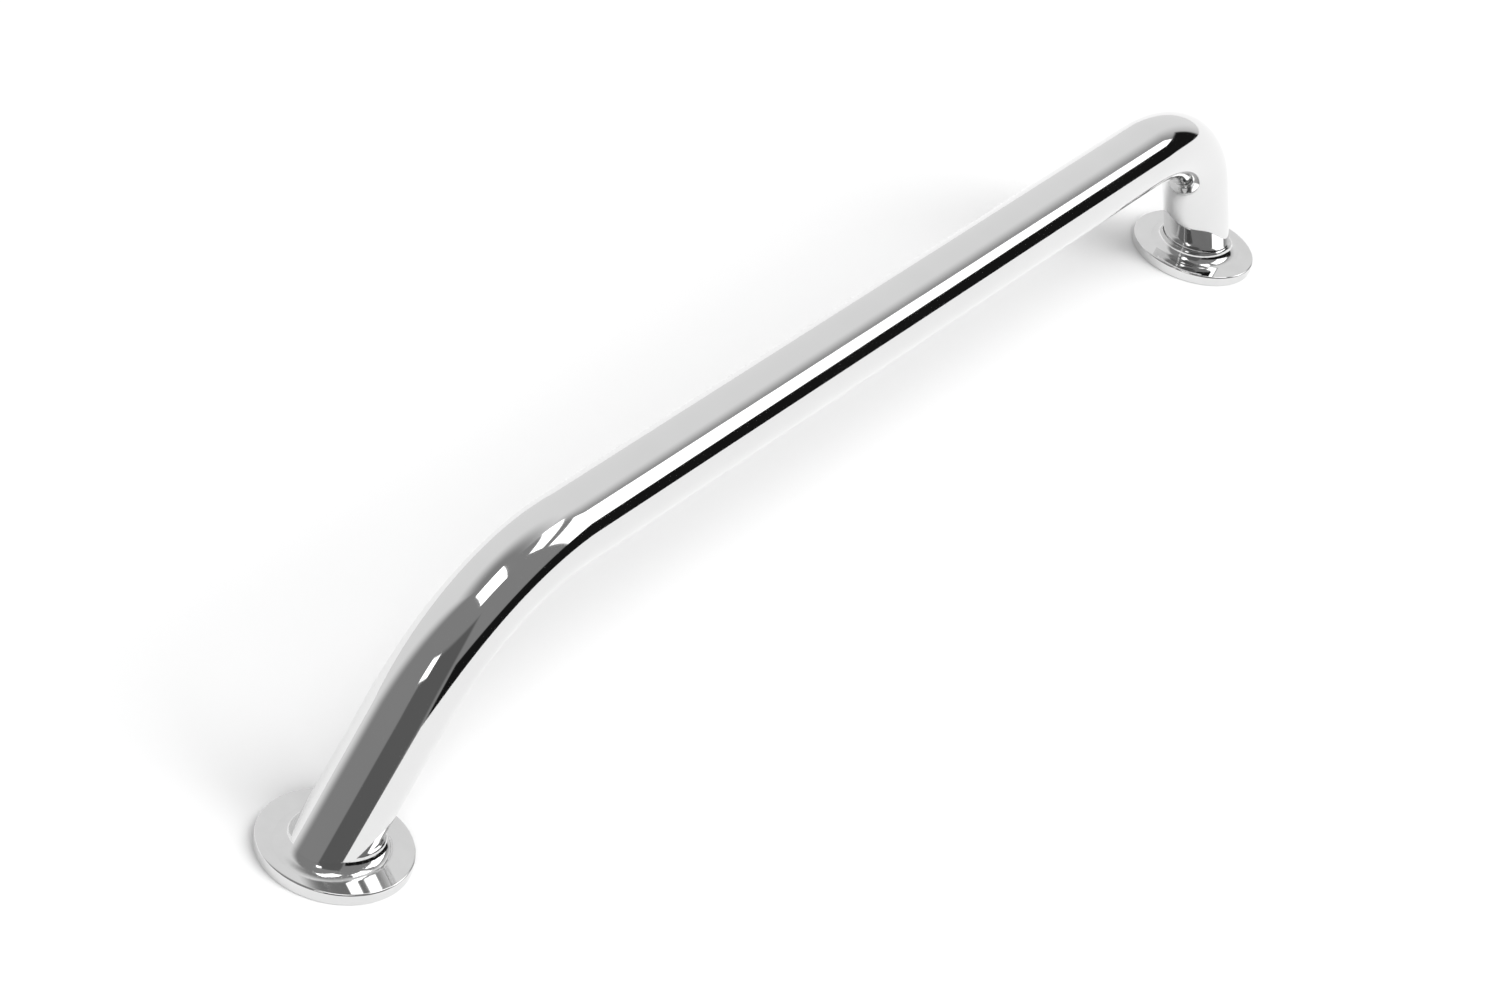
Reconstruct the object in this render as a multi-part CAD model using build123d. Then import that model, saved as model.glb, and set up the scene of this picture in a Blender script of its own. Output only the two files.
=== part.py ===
from build123d import *
import math
import os

os.makedirs("parts", exist_ok=True)

# A welded grab rail of polished stainless tube, standing on a flat deck.
# +X runs along the rail, +Y across it and +Z up.
# The origin is midway between the two feet, on the deck.
# The rail is symmetric about the YZ plane, so the right foot mirrors the left.

# Bent tube
TUBE_DIAMETER = 25.0
TUBE_WALL = 1.5
BEND_RADIUS = 80.0
LEG_ANGLE = 56.0
CENTRELINE_HEIGHT = 76.0

# Feet
FOOT_SPACING = 545.0
FLANGE_DIAMETER = 48.0
FLANGE_THICKNESS = 4.0
FLANGE_TOP_ROUNDING = 0.6
FLANGE_BOTTOM_CHAMFER = 0.3
LEG_CROSSING_HEIGHT = 7.5

# Weld that closes the corner between a leg and its flange
SEAM_WELD_RADIUS = 4.0

# Threaded insert that stands on each flange, inside the leg
INSERT_DIAMETER = 13.0
INSERT_TOP_HEIGHT = 15.0
INSERT_TOP_CHAMFER = 1.0
SPIGOT_DIAMETER = 10.0
SPIGOT_RECESS = 0.4
SPIGOT_CLEARANCE = 0.05
THREAD_BORE_DIAMETER = 6.8
THREAD_MOUTH_DIAMETER = 8.4
THREAD_END_WALL = 2.0
INSERT_WELD_LEG = 2.5

# Overrun of the cutting shapes past the faces they cut
OVERRUN = 10.0

# Derived sizes
tube_radius = TUBE_DIAMETER / 2
flange_radius = FLANGE_DIAMETER / 2
foot_x = FOOT_SPACING / 2
leg_slope = math.tan(math.radians(LEG_ANGLE))
leg_direction = Vector(math.cos(math.radians(LEG_ANGLE)), 0, math.sin(math.radians(LEG_ANGLE)))


def leg_axis_point(height):
    """Point of the left leg's centreline at a height above the deck."""
    return Vector(-foot_x + (height - LEG_CROSSING_HEIGHT) / leg_slope, 0, height)


def mirrored(point):
    """The same point on the right-hand side of the rail."""
    return Vector(-point.X, point.Y, point.Z)


def on_both_sides(name, left_shape):
    """Write a left-hand shape and its mirror image."""
    export_step(left_shape, f"parts/left_{name}.step")
    export_step(mirror(left_shape, about=Plane.YZ), f"parts/right_{name}.step")


def above_flange():
    """Everything over the top face of the flanges."""
    height = CENTRELINE_HEIGHT + FLANGE_DIAMETER
    return Pos(0, 0, FLANGE_THICKNESS) * Box(
        FOOT_SPACING + 4 * FLANGE_DIAMETER,
        2 * FLANGE_DIAMETER,
        height,
        align=(Align.CENTER, Align.CENTER, Align.MIN),
    )


# Bent tube: one centreline from foot to foot, cut level where it meets the flanges
leg_start = leg_axis_point(-OVERRUN)
left_corner = leg_axis_point(CENTRELINE_HEIGHT)
centreline = FilletPolyline(
    leg_start,
    left_corner,
    mirrored(left_corner),
    mirrored(leg_start),
    radius=BEND_RADIUS,
)
start_plane = Plane(origin=leg_start, z_dir=leg_direction)
tube_section = start_plane * (Circle(tube_radius) - Circle(tube_radius - TUBE_WALL))
rail_tube = sweep(tube_section, path=centreline) & above_flange()

# Flange: a round disc with a central hole for the insert's spigot
flange = extrude(Circle(flange_radius), FLANGE_THICKNESS)
flange = fillet(flange.edges().sort_by(Axis.Z)[-1], FLANGE_TOP_ROUNDING)
flange = chamfer(flange.edges().sort_by(Axis.Z)[0], FLANGE_BOTTOM_CHAMFER)
spigot_hole = extrude(Circle(SPIGOT_DIAMETER / 2), FLANGE_THICKNESS)
left_flange = Pos(-foot_x, 0, 0) * (flange - spigot_hole)

# Seam weld: the rounded corner between the outside of the leg and the flange's top face
leg_core = extrude(start_plane * Circle(tube_radius), CENTRELINE_HEIGHT) & above_flange()
weld_base = Pos(-foot_x, 0, 0) * extrude(Circle(flange_radius), FLANGE_THICKNESS)
leg_on_base = leg_core + weld_base
corner = leg_on_base.edges().filter_by(GeomType.ELLIPSE).sort_by(Axis.Z)[0]
left_seam_weld = fillet(corner, SEAM_WELD_RADIUS) - leg_core - weld_base

# Threaded insert: a round post with a spigot that centres it in the flange
post_height = INSERT_TOP_HEIGHT - FLANGE_THICKNESS
post = Pos(0, 0, FLANGE_THICKNESS) * extrude(Circle(INSERT_DIAMETER / 2), post_height)
post = chamfer(post.edges().sort_by(Axis.Z)[-1], INSERT_TOP_CHAMFER)
spigot_length = FLANGE_THICKNESS - SPIGOT_RECESS
spigot = Pos(0, 0, SPIGOT_RECESS) * extrude(
    Circle(SPIGOT_DIAMETER / 2 - SPIGOT_CLEARANCE), spigot_length
)
thread_depth = INSERT_TOP_HEIGHT - THREAD_END_WALL - SPIGOT_RECESS
thread_bore = Pos(0, 0, SPIGOT_RECESS) * extrude(Circle(THREAD_BORE_DIAMETER / 2), thread_depth)
mouth_depth = (THREAD_MOUTH_DIAMETER - THREAD_BORE_DIAMETER) / 2
thread_mouth = Pos(0, 0, SPIGOT_RECESS + mouth_depth / 2) * Cone(
    THREAD_MOUTH_DIAMETER / 2, THREAD_BORE_DIAMETER / 2, mouth_depth
)
left_insert = Pos(-foot_x, 0, 0) * (post + spigot - thread_bore - thread_mouth)

# Insert weld: a ring of triangular section around the foot of the insert
insert_radius = INSERT_DIAMETER / 2
weld_section = Plane.XZ * Polygon(
    (insert_radius, FLANGE_THICKNESS),
    (insert_radius + INSERT_WELD_LEG, FLANGE_THICKNESS),
    (insert_radius, FLANGE_THICKNESS + INSERT_WELD_LEG),
    align=None,
)
left_insert_weld = Pos(-foot_x, 0, 0) * revolve(weld_section, Axis.Z)

export_step(rail_tube, "parts/rail_tube.step")
on_both_sides("flange", left_flange)
on_both_sides("seam_weld", left_seam_weld)
on_both_sides("insert", left_insert)
on_both_sides("insert_weld", left_insert_weld)
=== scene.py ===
import math

import bpy
from mathutils import Matrix, Vector


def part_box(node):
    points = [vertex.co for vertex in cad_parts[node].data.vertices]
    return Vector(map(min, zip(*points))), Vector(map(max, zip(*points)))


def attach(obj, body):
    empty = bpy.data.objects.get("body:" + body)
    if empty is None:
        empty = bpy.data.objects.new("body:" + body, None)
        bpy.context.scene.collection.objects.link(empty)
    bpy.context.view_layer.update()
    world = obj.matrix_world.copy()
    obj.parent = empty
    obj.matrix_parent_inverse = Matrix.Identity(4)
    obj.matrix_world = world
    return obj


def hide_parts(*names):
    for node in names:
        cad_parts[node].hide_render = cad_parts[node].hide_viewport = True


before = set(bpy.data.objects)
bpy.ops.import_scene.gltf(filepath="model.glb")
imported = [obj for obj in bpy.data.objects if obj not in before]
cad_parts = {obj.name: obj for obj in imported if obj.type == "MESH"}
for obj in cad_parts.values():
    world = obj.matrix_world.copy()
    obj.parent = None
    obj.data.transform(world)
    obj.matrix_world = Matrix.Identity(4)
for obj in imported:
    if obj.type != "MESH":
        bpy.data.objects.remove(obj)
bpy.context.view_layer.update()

# ---------------------------------------------------------------- sizes, in metres

TUBE_RADIUS = 0.0125
TUBE_WALL = 0.0015
BEND_RADIUS = 0.080
LEG_ANGLE = math.radians(56)
CENTRELINE_HEIGHT = 0.076
LEG_CROSSING_HEIGHT = 0.0075    # where a leg's axis crosses its flange's centre line

flange_low, flange_high = (Vector(corner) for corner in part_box("left_flange"))
FLANGE_RADIUS = (flange_high.y - flange_low.y) / 2
FLANGE_THICKNESS = flange_high.z - flange_low.z
FOOT_X = -(flange_low.x + flange_high.x) / 2
FLANGE_ROUNDING = 0.0006
FLANGE_CHAMFER = 0.0003

WELD_RADIUS_UPPER = 0.0060       # hollow of the weld under the leg's upper side
WELD_RADIUS_INNER = 0.0032       # and in the corner that the leg leans over

SPIGOT_HOLE_RADIUS = 0.005
SPIGOT_RADIUS = 0.00495
SPIGOT_RECESS = 0.0004
INSERT_RADIUS = 0.0065
INSERT_TOP = 0.015
INSERT_CHAMFER = 0.001
THREAD_CREST_RADIUS = 0.0034
THREAD_ROOT_RADIUS = 0.0040
THREAD_PITCH = 0.00125
THREAD_MOUTH_RADIUS = 0.0042
THREAD_END = 0.013
THREAD_FLANK = 2.6               # steepness of the groove's sides; its floor and crest are flat
THREAD_CREST = 0.3               # how wide the crest is left, in the same measure

# ---------------------------------------------------------------- mesh helpers


class Skin:
    """A mesh put together from grids of points, each with its exact surface normal."""

    def __init__(self):
        self.index = {}
        self.points = []
        self.faces = []
        self.normals = []
        self.tags = []

    def vertex(self, point, tag=(0, 0, 0)):
        key = tuple(round(c * 1e7) for c in point)
        if key not in self.index:
            self.index[key] = len(self.points)
            self.points.append(tuple(point))
            self.tags.append(tag)
        return self.index[key]

    def grid(self, rows):
        """Rows of (point, normal) or (point, normal, tag), all of one length, joined by quads."""
        for low, high in zip(rows, rows[1:]):
            for j in range(len(low) - 1):
                corners = [low[j], low[j + 1], high[j + 1], high[j]]
                ring = [(self.vertex(p, *tag), p, n) for p, n, *tag in corners]
                ring = [c for k, c in enumerate(ring) if c[0] != ring[k - 1][0]]
                if len(ring) < 3:
                    continue
                a, b, c = (Vector(ring[k][1]) for k in range(3))
                facing = sum((Vector(n) for _, _, n in ring), Vector())
                if (b - a).cross(c - a).dot(facing) < 0:
                    ring.reverse()
                self.faces.append([v for v, _, _ in ring])
                self.normals.extend(Vector(n).normalized() for _, _, n in ring)

    def build(self, name, mirror=False):
        points, faces, normals = self.points, self.faces, self.normals
        if mirror:
            points = [(-x, y, z) for x, y, z in points]
            normals = [Vector((-n.x, n.y, n.z)) for n in normals]
            turned, start = [], 0
            for face in faces:
                turned.extend(reversed(normals[start:start + len(face)]))
                start += len(face)
            normals = turned
            faces = [list(reversed(face)) for face in faces]
        mesh = bpy.data.meshes.new(name)
        mesh.from_pydata(points, [], faces)
        mesh.polygons.foreach_set("use_smooth", [True] * len(mesh.polygons))
        sweep = mesh.attributes.new("sweep", "FLOAT_VECTOR", "POINT")
        for item, tag in zip(sweep.data, self.tags):
            item.vector = tag
        mesh.normals_split_custom_set([tuple(n) for n in normals])
        piece = bpy.data.objects.new(name, mesh)
        bpy.context.scene.collection.objects.link(piece)
        return piece


def ring_angle(j, around):
    """Angle of one of the points round a ring, with the last point back on the first."""
    return 2 * math.pi * (j % around) / around


def straight(r0, z0, r1, z1, steps=1):
    """Straight stretch of a lathe profile, with the solid on the left of its direction."""
    length = math.hypot(r1 - r0, z1 - z0)
    nr, nz = (z1 - z0) / length, -(r1 - r0) / length
    return [(r0 + (r1 - r0) * k / steps, z0 + (z1 - z0) * k / steps, nr, nz) for k in range(steps + 1)]


def rounded(centre_r, centre_z, radius, start, end, steps=8):
    """Convex arc of a lathe profile, from one angle to another in degrees."""
    arc = []
    for k in range(steps + 1):
        angle = math.radians(start + (end - start) * k / steps)
        arc.append((centre_r + radius * math.cos(angle), centre_z + radius * math.sin(angle),
                    math.cos(angle), math.sin(angle)))
    return arc


def lathe(skin, profile, centre_x, segments):
    """Turn stretches of a profile about a vertical axis."""
    for stretch in profile:
        rows = []
        for r, z, nr, nz in stretch:
            row = []
            for j in range(segments + 1):
                angle = ring_angle(j, segments)
                c, s = math.cos(angle), math.sin(angle)
                row.append(((centre_x + r * c, r * s, z), (nr * c, nr * s, nz)))
            rows.append(row)
        skin.grid(rows)


# ---------------------------------------------------------------- pieces

UP = Vector((0, 0, 1))
ACROSS = Vector((0, 1, 0))
LEG = Vector((math.cos(LEG_ANGLE), 0, math.sin(LEG_ANGLE)))
LEG_OUT = Vector((-math.sin(LEG_ANGLE), 0, math.cos(LEG_ANGLE)))
LEG_CROSSING = Vector((-FOOT_X, 0, LEG_CROSSING_HEIGHT))


def leg_ring_direction(angle):
    """Outward normal of the left leg, turning from its upper side."""
    return math.cos(angle) * LEG_OUT + math.sin(angle) * ACROSS


def leg_point_at_height(radius, angle, height):
    """Point on a cylinder about the left leg's axis, at a height above the deck."""
    out = LEG_CROSSING + radius * leg_ring_direction(angle)
    return out + (height - out.z) / LEG.z * LEG


def tube_skin():
    around, bend_steps, run_steps = 128, 64, 24
    left_corner = LEG_CROSSING + (CENTRELINE_HEIGHT - LEG_CROSSING_HEIGHT) / LEG.z * LEG
    tangent = BEND_RADIUS * math.tan(LEG_ANGLE / 2)
    bend_x = left_corner.x + tangent
    leg_length = (left_corner - LEG_CROSSING).length - tangent

    # stations of the left half: centre, outward direction of the bend, length along the tube
    stations = []
    for k in range(bend_steps + 1):
        turn = LEG_ANGLE * (1 - k / bend_steps)
        out = Vector((-math.sin(turn), 0, math.cos(turn)))
        centre = Vector((bend_x, 0, CENTRELINE_HEIGHT - BEND_RADIUS)) + BEND_RADIUS * out
        stations.append((centre, out, leg_length + BEND_RADIUS * (LEG_ANGLE - turn)))
    for k in range(1, run_steps + 1):
        x = bend_x * (1 - k / run_steps)
        stations.append((Vector((x, 0, CENTRELINE_HEIGHT)), UP, stations[-1][2] - bend_x / run_steps))
    middle = stations[-1][2]

    skin = Skin()
    for radius, side in ((TUBE_RADIUS, 1), (TUBE_RADIUS - TUBE_WALL, -1)):
        rows = []
        foot = []
        for j in range(around + 1):
            angle = ring_angle(j, around)
            point = leg_point_at_height(radius, angle, FLANGE_THICKNESS)
            foot.append((point, side * leg_ring_direction(angle), (math.cos(angle), math.sin(angle), 0)))
        rows.append(foot)
        for centre, out, length in stations:
            row = []
            for j in range(around + 1):
                angle = ring_angle(j, around)
                normal = math.cos(angle) * out + math.sin(angle) * ACROSS
                place = (math.cos(angle), math.sin(angle), length)
                row.append((centre + radius * normal, side * normal, place))
            rows.append(row)
        flip = Vector((-1, 1, 1))
        for row in reversed(rows[:-1]):
            rows.append([(p * flip, n * flip, (c, s, 2 * middle - length)) for p, n, (c, s, length) in row])
        skin.grid(rows)
    for flip in (Vector((1, 1, 1)), Vector((-1, 1, 1))):
        rim = []
        for radius in (TUBE_RADIUS - TUBE_WALL, TUBE_RADIUS):
            angles = [ring_angle(j, around) for j in range(around + 1)]
            rim.append([(leg_point_at_height(radius, a, FLANGE_THICKNESS) * flip, -UP) for a in angles])
        skin.grid(rim)
    return skin


def flange_skin():
    r, t = FLANGE_RADIUS, FLANGE_THICKNESS
    skin = Skin()
    lathe(skin, [
        straight(SPIGOT_HOLE_RADIUS, 0, r - FLANGE_CHAMFER, 0, 4),
        straight(r - FLANGE_CHAMFER, 0, r, FLANGE_CHAMFER),
        straight(r, FLANGE_CHAMFER, r, t - FLANGE_ROUNDING),
        rounded(r - FLANGE_ROUNDING, t - FLANGE_ROUNDING, FLANGE_ROUNDING, 0, 90, 10),
        straight(r - FLANGE_ROUNDING, t, SPIGOT_HOLE_RADIUS, t, 4),
        straight(SPIGOT_HOLE_RADIUS, t, SPIGOT_HOLE_RADIUS, 0),
    ], -FOOT_X, 192)
    return skin


def weld_skin():
    """Hollow fillet weld, tighter on the side that the leg leans over."""
    around, steps = 192, 16
    hollow = [[] for _ in range(steps + 1)]
    on_leg, on_flange = [[], []], [[], []]
    for j in range(around + 1):
        angle = ring_angle(j, around)
        out = leg_ring_direction(angle)
        opening = math.acos(out.dot(UP))
        radius = WELD_RADIUS_INNER + (WELD_RADIUS_UPPER - WELD_RADIUS_INNER) * (1 + math.cos(angle)) / 2
        ball = leg_point_at_height(TUBE_RADIUS + radius, angle, FLANGE_THICKNESS + radius)
        for k in range(steps + 1):
            share = k / steps
            normal = math.sin((1 - share) * opening) * UP + math.sin(share * opening) * out
            normal /= math.sin(opening)
            hollow[k].append((ball - radius * normal, normal))
        root = leg_point_at_height(TUBE_RADIUS, angle, FLANGE_THICKNESS)
        on_leg[0].append((ball - radius * out, -out))
        on_leg[1].append((root, -out))
        on_flange[0].append((root, -UP))
        on_flange[1].append((ball - radius * UP, -UP))
    skin = Skin()
    skin.grid(hollow)
    skin.grid(on_leg)
    skin.grid(on_flange)
    return skin


def insert_skin():
    skin = Skin()
    recess, mouth = SPIGOT_RECESS, THREAD_MOUTH_RADIUS - THREAD_CREST_RADIUS
    lathe(skin, [
        straight(THREAD_MOUTH_RADIUS, recess, SPIGOT_RADIUS, recess, 2),
        straight(SPIGOT_RADIUS, recess, SPIGOT_RADIUS, FLANGE_THICKNESS),
        straight(SPIGOT_RADIUS, FLANGE_THICKNESS, INSERT_RADIUS, FLANGE_THICKNESS),
        straight(INSERT_RADIUS, FLANGE_THICKNESS, INSERT_RADIUS, INSERT_TOP - INSERT_CHAMFER),
        straight(INSERT_RADIUS, INSERT_TOP - INSERT_CHAMFER, INSERT_RADIUS - INSERT_CHAMFER, INSERT_TOP),
        straight(INSERT_RADIUS - INSERT_CHAMFER, INSERT_TOP, 0, INSERT_TOP, 2),
    ], -FOOT_X, 96)
    lathe(skin, [
        straight(0, THREAD_END, THREAD_CREST_RADIUS, THREAD_END, 2),
        straight(THREAD_CREST_RADIUS, recess + mouth, THREAD_MOUTH_RADIUS, recess),
    ], -FOOT_X, 96)

    # thread: the bore's radius follows a helix, fading out at both of its ends
    around, per_turn = 96, 10
    low, high = recess + mouth, THREAD_END
    count = round((high - low) / THREAD_PITCH * per_turn)
    depth = THREAD_ROOT_RADIUS - THREAD_CREST_RADIUS
    radii, heights = [], []
    for k in range(count + 1):
        z = low + (high - low) * k / count
        fade = min(1.0, (z - low) / THREAD_PITCH * 2, (high - z) / THREAD_PITCH)
        heights.append(z)
        ring = []
        for j in range(around):
            phase = (z / THREAD_PITCH - j / around) % 1.0
            groove = min(1.0, max(0.0, (0.5 - abs(phase - 0.5)) * THREAD_FLANK - THREAD_CREST))
            ring.append(THREAD_CREST_RADIUS + depth * fade * groove)
        radii.append(ring)
    rows = []
    for k in range(count + 1):
        row = []
        below, above = max(k - 1, 0), min(k + 1, count)
        for j in range(around + 1):
            i = j % around
            angle = ring_angle(j, around)
            slope = (radii[above][i] - radii[below][i]) / (heights[above] - heights[below])
            c, s = math.cos(angle), math.sin(angle)
            r = radii[k][i]
            row.append(((-FOOT_X + r * c, r * s, heights[k]), (-c, -s, slope)))
        rows.append(row)
    skin.grid(rows)
    return skin


# ---------------------------------------------------------------- node helpers


class Nodes:
    """Short calls for building a node tree."""

    def __init__(self, tree):
        self.tree = tree
        tree.nodes.clear()

    def add(self, kind, **settings):
        node = self.tree.nodes.new(kind)
        for name, value in settings.items():
            setattr(node, name, value)
        return node

    def put(self, socket, value):
        if isinstance(value, bpy.types.NodeSocket):
            self.tree.links.new(value, socket)
        else:
            socket.default_value = value

    def math(self, operation, a, b=0.0):
        node = self.add("ShaderNodeMath", operation=operation)
        self.put(node.inputs[0], a)
        self.put(node.inputs[1], b)
        return node.outputs[0]

    def remap(self, value, low, high, to_low=0.0, to_high=1.0, smooth=True):
        node = self.add("ShaderNodeMapRange", interpolation_type="SMOOTHSTEP" if smooth else "LINEAR")
        self.put(node.inputs["Value"], value)
        node.inputs["From Min"].default_value = low
        node.inputs["From Max"].default_value = high
        node.inputs["To Min"].default_value = to_low
        node.inputs["To Max"].default_value = to_high
        return node.outputs[0]

    def mix(self, factor, a, b):
        node = self.add("ShaderNodeMix", data_type="FLOAT")
        self.put(node.inputs[0], factor)
        self.put(node.inputs[2], a)
        self.put(node.inputs[3], b)
        return node.outputs[0]

    def split(self, vector):
        node = self.add("ShaderNodeSeparateXYZ")
        self.put(node.inputs[0], vector)
        return node.outputs

    def join(self, x, y, z):
        node = self.add("ShaderNodeCombineXYZ")
        for socket, value in zip(node.inputs, (x, y, z)):
            self.put(socket, value)
        return node.outputs[0]

    def noise(self, vector, scale, detail=2.0, roughness=0.5):
        node = self.add("ShaderNodeTexNoise")
        self.put(node.inputs["Vector"], vector)
        node.inputs["Scale"].default_value = scale
        node.inputs["Detail"].default_value = detail
        node.inputs["Roughness"].default_value = roughness
        return node.outputs["Fac"]

    def bump(self, height, distance, normal=None):
        node = self.add("ShaderNodeBump")
        node.inputs["Distance"].default_value = distance
        self.put(node.inputs["Height"], height)
        if normal:
            self.put(node.inputs["Normal"], normal)
        return node.outputs[0]


# ---------------------------------------------------------------- studio

WINDOW = 2.6     # brightness of the soft boxes and the overhead panel
ROOM = 0.26      # what the steel sees between the cards
DOME = 0.44      # even light from all round, for the floor
FLOOR_REFLECTANCE = 0.88

# Plain cards and soft boxes round the rail: azimuths from +X towards +Y and elevations
# in degrees, brightness, and the width of the soft edge. Later ones hide earlier ones.
CARDS = [
    ((-10, 120), (-90, 65), 0.85, 30),       # pale backdrop beyond the rail
    ((-160, -105), (-90, 50), 0.12, 6),      # grey card by the near end
    ((-100, -10), (-90, 20), 0.01, 3),       # black card along the front
    ((-50, -20), (20, 45), WINDOW, 2),       # large soft box
    ((-50, -10), (52, 64), WINDOW, 2),       # high soft box
    ((-165, -150), (40, 50), WINDOW, 2),     # small soft box
]

# One light panel over the near end: its middle, and its width and depth, in metres.
PANEL_MIDDLE = Vector((-0.28, -0.18, 0.92))
PANEL_SIZE = (0.25, 0.40)


def card_mask(n, azimuth, elevation, azimuths, elevations, softness):
    """1 inside a card, fading across its edges."""
    inside = n.math("SUBTRACT", azimuth, azimuths[0])
    for value in (n.math("SUBTRACT", azimuths[1], azimuth), n.math("SUBTRACT", elevation, elevations[0]),
                  n.math("SUBTRACT", elevations[1], elevation)):
        inside = n.math("MINIMUM", inside, value)
    return n.remap(inside, -softness / 2, softness / 2)


def add_studio():
    world = bpy.data.worlds.new("studio")
    bpy.context.scene.world = world
    world.cycles.sampling_method = "NONE"
    world.use_nodes = True
    n = Nodes(world.node_tree)
    x, y, z = n.split(n.add("ShaderNodeTexCoord").outputs["Generated"])
    azimuth = n.math("DEGREES", n.math("ARCTAN2", y, x))
    elevation = n.math("DEGREES", n.math("ARCSINE", z))
    level = ROOM
    for azimuths, elevations, brightness, softness in CARDS:
        mask = card_mask(n, azimuth, elevation, azimuths, elevations, softness)
        level = n.mix(mask, level, brightness)

    # the steel sees the cards, the floor gets an even dome, the camera a white backdrop
    path = n.add("ShaderNodeLightPath")
    lit = n.mix(path.outputs["Is Glossy Ray"], DOME, level)
    background = n.add("ShaderNodeBackground")
    n.put(background.inputs["Color"], n.mix(path.outputs["Is Camera Ray"], lit, 1.0))
    n.put(n.add("ShaderNodeOutputWorld").inputs["Surface"], background.outputs[0])


# Soft lamps for the floor: azimuth, elevation and angular size in degrees, and the share
# of the floor's brightness that each one gives.
LAMPS = [(-90, 60, 44, 0.38), (-75, 28, 34, 0.18), (-165, 28, 34, 0.14)]


def add_lamps():
    for number, (azimuth, elevation, size, share) in enumerate(LAMPS):
        azimuth, elevation = math.radians(azimuth), math.radians(elevation)
        towards = Vector((math.cos(azimuth) * math.cos(elevation), math.sin(azimuth) * math.cos(elevation),
                          math.sin(elevation)))
        name = f"soft_lamp_{number + 1}"
        data = bpy.data.lights.new(name, "SUN")
        data.energy = share * math.pi / (FLOOR_REFLECTANCE * towards.z)
        data.angle = math.radians(size)
        lamp = bpy.data.objects.new(name, data)
        lamp.matrix_world = (-towards).to_track_quat("-Z", "Y").to_matrix().to_4x4()
        lamp.visible_glossy = False
        bpy.context.scene.collection.objects.link(lamp)


def flat_sheet(name, middle, width, depth):
    x, y = width / 2, depth / 2
    mesh = bpy.data.meshes.new(name)
    mesh.from_pydata([(-x, -y, 0), (x, -y, 0), (x, y, 0), (-x, y, 0)], [], [(0, 1, 2, 3)])
    sheet = bpy.data.objects.new(name, mesh)
    sheet.location = middle
    sheet.visible_shadow = False
    bpy.context.scene.collection.objects.link(sheet)
    return sheet


def add_overhead_panel():
    """A bright panel over the near end, seen only in the steel."""
    material = bpy.data.materials.new("overhead_light")
    material.use_nodes = True
    n = Nodes(material.node_tree)
    shader = n.add("ShaderNodeEmission")
    shader.inputs["Strength"].default_value = WINDOW
    n.put(n.add("ShaderNodeOutputMaterial").inputs["Surface"], shader.outputs[0])
    panel = flat_sheet("overhead_light", PANEL_MIDDLE, *PANEL_SIZE)
    panel.visible_camera = False
    panel.visible_diffuse = False
    panel.data.materials.append(material)


def add_floor():
    """A wide plain pale floor."""
    floor = flat_sheet("floor", Vector((0, 0, 0)), 18, 18)
    material = bpy.data.materials.new("plain_floor")
    material.use_nodes = True
    n = Nodes(material.node_tree)
    shader = n.add("ShaderNodeBsdfDiffuse")
    shader.inputs["Color"].default_value = (FLOOR_REFLECTANCE, FLOOR_REFLECTANCE, FLOOR_REFLECTANCE, 1.0)
    n.put(n.add("ShaderNodeOutputMaterial").inputs["Surface"], shader.outputs[0])
    floor.data.materials.append(material)


# ---------------------------------------------------------------- steel


def new_material(name):
    material = bpy.data.materials.new(name)
    material.use_nodes = True
    n = Nodes(material.node_tree)
    shader = n.add("ShaderNodeBsdfPrincipled")
    shader.inputs["Metallic"].default_value = 1.0
    n.put(n.add("ShaderNodeOutputMaterial").inputs["Surface"], shader.outputs[0])
    return material, n, shader


def grey(n, factor, low, high):
    """A neutral colour between two greys."""
    level = n.mix(factor, low, high)
    node = n.add("ShaderNodeCombineColor")
    for socket in node.inputs:
        n.put(socket, level)
    return node.outputs[0]


def foot_radius(n, x, y):
    """Distance from the nearer foot's centre line."""
    along = n.math("SUBTRACT", n.math("ABSOLUTE", x), FOOT_X)
    return n.math("SQRT", n.math("ADD", n.math("MULTIPLY", along, along), n.math("MULTIPLY", y, y)))


def tube_steel():
    """Mirror polish on a bent tube: faint long waves, fine rings left by the buffing wheel."""
    material, n, shader = new_material("tube_steel")
    sweep = n.add("ShaderNodeAttribute", attribute_name="sweep").outputs["Vector"]
    c, s, length = n.split(sweep)
    rings = n.noise(n.join(c, s, n.math("MULTIPLY", length, 1500.0)), 1.0, 3.0)
    waves = n.noise(n.join(n.math("MULTIPLY", c, 0.5), n.math("MULTIPLY", s, 0.5),
                           n.math("MULTIPLY", length, 45.0)), 1.0, 1.0)
    cloud = n.noise(n.add("ShaderNodeTexCoord").outputs["Object"], 40.0, 4.0)
    n.put(shader.inputs["Base Color"], grey(n, cloud, 0.73, 0.78))
    n.put(shader.inputs["Roughness"], n.math("ADD", n.remap(rings, 0.3, 0.7, 0.0, 0.015),
                                             n.remap(cloud, 0.35, 0.7, 0.03, 0.055)))
    normal = n.bump(waves, 0.00003)
    n.put(shader.inputs["Normal"], n.bump(rings, 0.0000006, normal))
    return material


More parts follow.
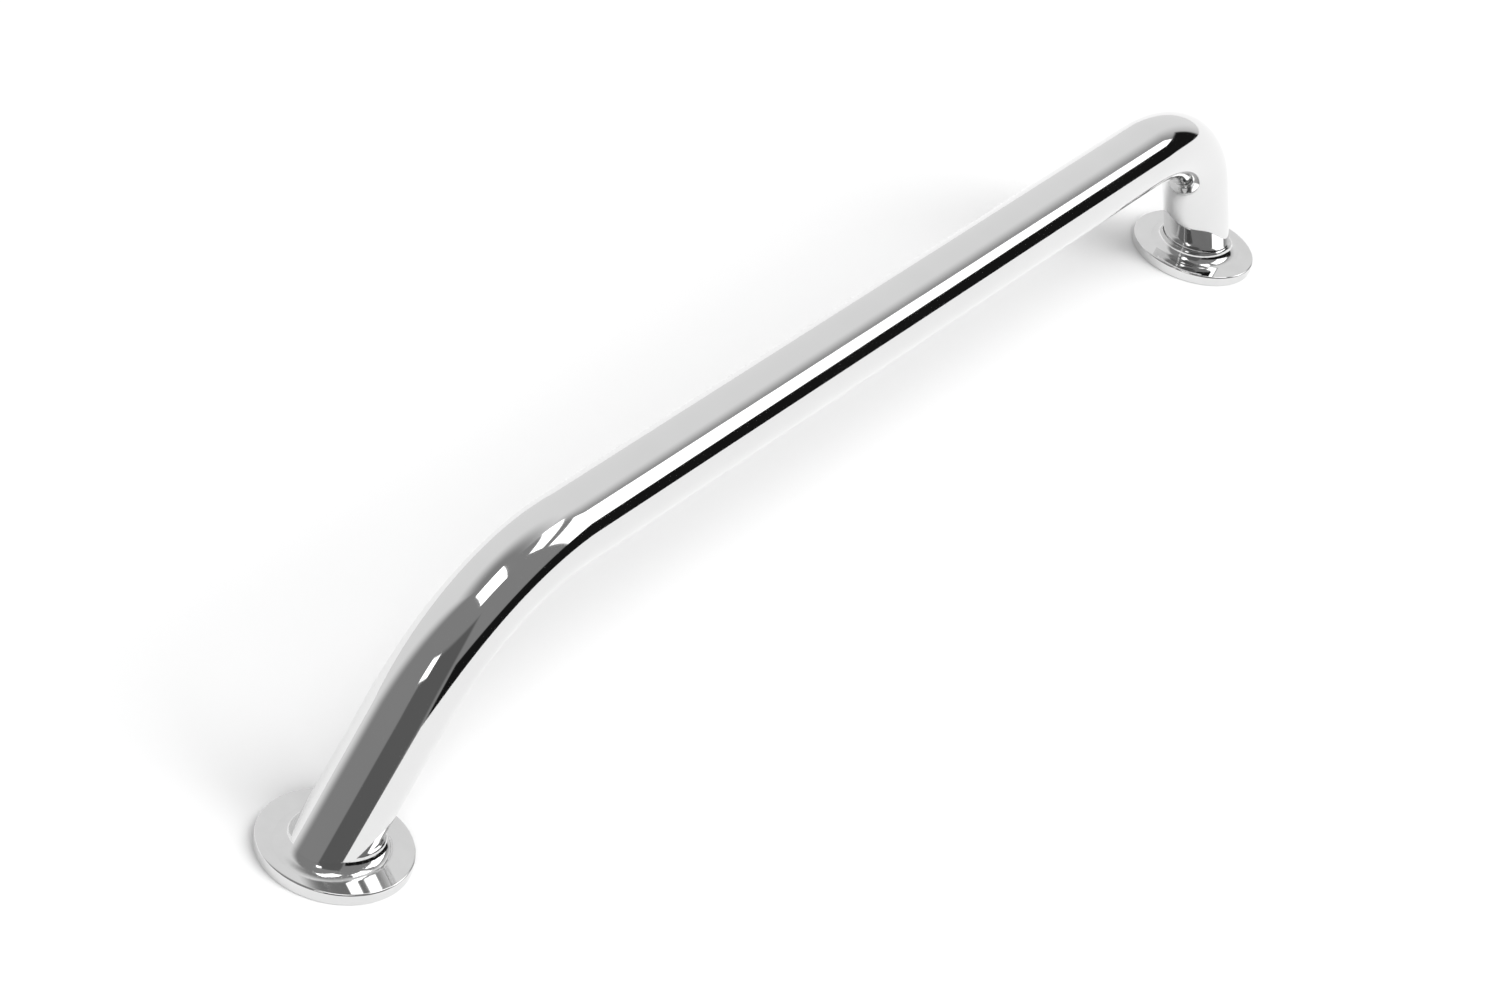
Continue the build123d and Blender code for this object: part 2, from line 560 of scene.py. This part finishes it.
def disc_steel():
    """Mirror polish on a turned disc, with a plain turned finish underneath."""
    material, n, shader = new_material("disc_steel")
    place = n.add("ShaderNodeTexCoord").outputs["Object"]
    x, y, z = n.split(place)
    radius = foot_radius(n, x, y)
    under = n.remap(z, 0.00005, 0.0001, 1.0, 0.0)
    turning = n.noise(n.join(n.math("MULTIPLY", radius, 6000.0), 0.0, 0.0), 1.0, 3.0)
    cloud = n.noise(place, 90.0, 4.0)
    n.put(shader.inputs["Base Color"], grey(n, n.math("MULTIPLY", cloud, n.math("SUBTRACT", 1.0, under)),
                                            0.68, 0.80))
    polished = n.remap(cloud, 0.3, 0.7, 0.025, 0.06)
    n.put(shader.inputs["Roughness"], n.mix(under, polished, n.remap(turning, 0.3, 0.7, 0.28, 0.42)))
    normal = n.bump(n.noise(place, 120.0, 1.0), 0.00001)
    n.put(shader.inputs["Normal"], n.bump(n.math("MULTIPLY", turning, under), 0.000012, normal))
    return material


def weld_steel():
    """Weld ground and polished by hand, so not quite even."""
    material, n, shader = new_material("weld_steel")
    place = n.add("ShaderNodeTexCoord").outputs["Object"]
    dips = n.noise(place, 260.0, 2.0)
    pits = n.remap(n.noise(place, 2600.0, 2.0), 0.66, 0.74, 1.0, 0.0)
    n.put(shader.inputs["Base Color"], grey(n, n.noise(place, 150.0, 4.0), 0.69, 0.78))
    n.put(shader.inputs["Roughness"], n.remap(n.noise(place, 400.0, 3.0), 0.3, 0.7, 0.04, 0.10))
    normal = n.bump(dips, 0.00005)
    n.put(shader.inputs["Normal"], n.bump(pits, 0.000008, normal))
    return material


def insert_steel():
    """Turned stainless bar, with fine tool rings."""
    material, n, shader = new_material("insert_steel")
    place = n.add("ShaderNodeTexCoord").outputs["Object"]
    x, y, z = n.split(place)
    radius = foot_radius(n, x, y)
    rings = n.noise(n.join(n.math("MULTIPLY", radius, 9000.0), 0.0, n.math("MULTIPLY", z, 9000.0)), 1.0, 2.0)
    cloud = n.noise(place, 300.0, 4.0)
    n.put(shader.inputs["Base Color"], grey(n, cloud, 0.54, 0.66))
    n.put(shader.inputs["Roughness"], n.remap(rings, 0.3, 0.7, 0.22, 0.38))
    n.put(shader.inputs["Normal"], n.bump(rings, 0.00001))
    return material


def raw_weld_steel():
    """Weld as laid, with heat colours from straw to blue."""
    material, n, shader = new_material("raw_weld_steel")
    place = n.add("ShaderNodeTexCoord").outputs["Object"]
    tint = n.add("ShaderNodeValToRGB")
    colours = ((0.25, (0.52, 0.51, 0.50, 1)), (0.5, (0.55, 0.43, 0.26, 1)), (0.62, (0.36, 0.26, 0.30, 1)),
               (0.75, (0.24, 0.29, 0.42, 1)))
    while len(tint.color_ramp.elements) < len(colours):
        tint.color_ramp.elements.new(0.5)
    for element, (position, colour) in zip(tint.color_ramp.elements, colours):
        element.position = position
        element.color = colour
    n.put(tint.inputs[0], n.noise(place, 350.0, 3.0))
    n.put(shader.inputs["Base Color"], tint.outputs[0])
    n.put(shader.inputs["Roughness"], n.remap(n.noise(place, 900.0, 3.0), 0.3, 0.7, 0.30, 0.55))
    n.put(shader.inputs["Normal"], n.bump(n.noise(place, 1200.0, 2.0), 0.00015))
    return material


# ---------------------------------------------------------------- camera

CAMERA_POSITION = Vector((-1.1158, -0.4817, 0.8020))
CAMERA_HEADING = math.radians(65.48)    # from +Y towards +X
CAMERA_PITCH = math.radians(33.58)      # below the horizon
CAMERA_ROLL = math.radians(16.32)       # right side of the frame lifted
CAMERA_LENS = 102.3                     # mm, on a 36 mm wide sensor


def add_camera():
    level = math.cos(CAMERA_PITCH)
    forward = Vector((math.sin(CAMERA_HEADING) * level, math.cos(CAMERA_HEADING) * level,
                      -math.sin(CAMERA_PITCH)))
    turn = forward.to_track_quat("-Z", "Y").to_matrix() @ Matrix.Rotation(CAMERA_ROLL, 3, "Z")
    data = bpy.data.cameras.new("camera")
    data.sensor_width = 36.0
    data.lens = CAMERA_LENS
    camera = bpy.data.objects.new("camera", data)
    camera.matrix_world = Matrix.Translation(CAMERA_POSITION) @ turn.to_4x4()
    bpy.context.scene.collection.objects.link(camera)
    bpy.context.scene.camera = camera


# ---------------------------------------------------------------- build


def finish_piece(piece, material, node):
    piece.data.materials.append(material)
    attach(piece, "root")
    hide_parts(node)


finish_piece(tube_skin().build("polished_tube"), tube_steel(), "rail_tube")
for shape, name, node, slot, material in (
    (flange_skin(), "polished_flange", "flange", "flange_steel", disc_steel()),
    (weld_skin(), "polished_weld", "seam_weld", "weld_steel", weld_steel()),
    (insert_skin(), "turned_insert", "insert", "insert_steel", insert_steel()),
):
    for side in ("left", "right"):
        piece = shape.build(f"{side}_{name}", mirror=side == "right")
        finish_piece(piece, material, f"{side}_{node}")

raw_weld = raw_weld_steel()
for side in ("left", "right"):
    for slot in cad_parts[f"{side}_insert_weld"].material_slots:
        slot.material = raw_weld

add_camera()
add_studio()
add_lamps()
add_overhead_panel()
add_floor()
bpy.context.scene.view_settings.view_transform = "Standard"
